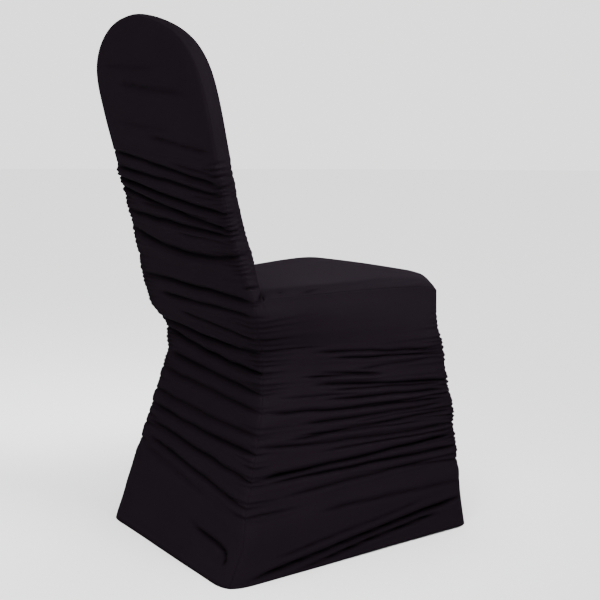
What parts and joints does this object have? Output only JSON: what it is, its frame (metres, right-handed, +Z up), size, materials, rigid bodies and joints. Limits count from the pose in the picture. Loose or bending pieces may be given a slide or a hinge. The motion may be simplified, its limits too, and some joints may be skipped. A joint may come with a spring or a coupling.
{
  "type": "ruched chair cover",
  "caption": "Fitted stretch cover for an arched banquet chair, gathered across its back and skirt, hollow and open at the hem.",
  "frame": {"origin": "on the floor under the middle of the cover's box", "axes": "+Z up, the sitter faces -Y, and +X is the sitter's left"},
  "size_m": [0.457, 0.6078, 0.9447],
  "materials": {
    "back_panel": "black stretch knit, matt with a soft sheen",
    "inner_back": "black stretch knit, matt with a soft sheen",
    "seat_panel": "black stretch knit, matt with a soft sheen",
    "side_panel_right": "black stretch knit, matt with a soft sheen",
    "side_panel_left": "black stretch knit, matt with a soft sheen",
    "front_panel": "black stretch knit, matt with a soft sheen"
  },
  "bodies": {
    "root": {"back_panel": "back_panel", "inner_back": "inner_back", "seat_panel": "seat_panel", "side_panel_right": "side_panel_right", "side_panel_left": "side_panel_left", "front_panel": "front_panel"}
  },
  "joints": []
}
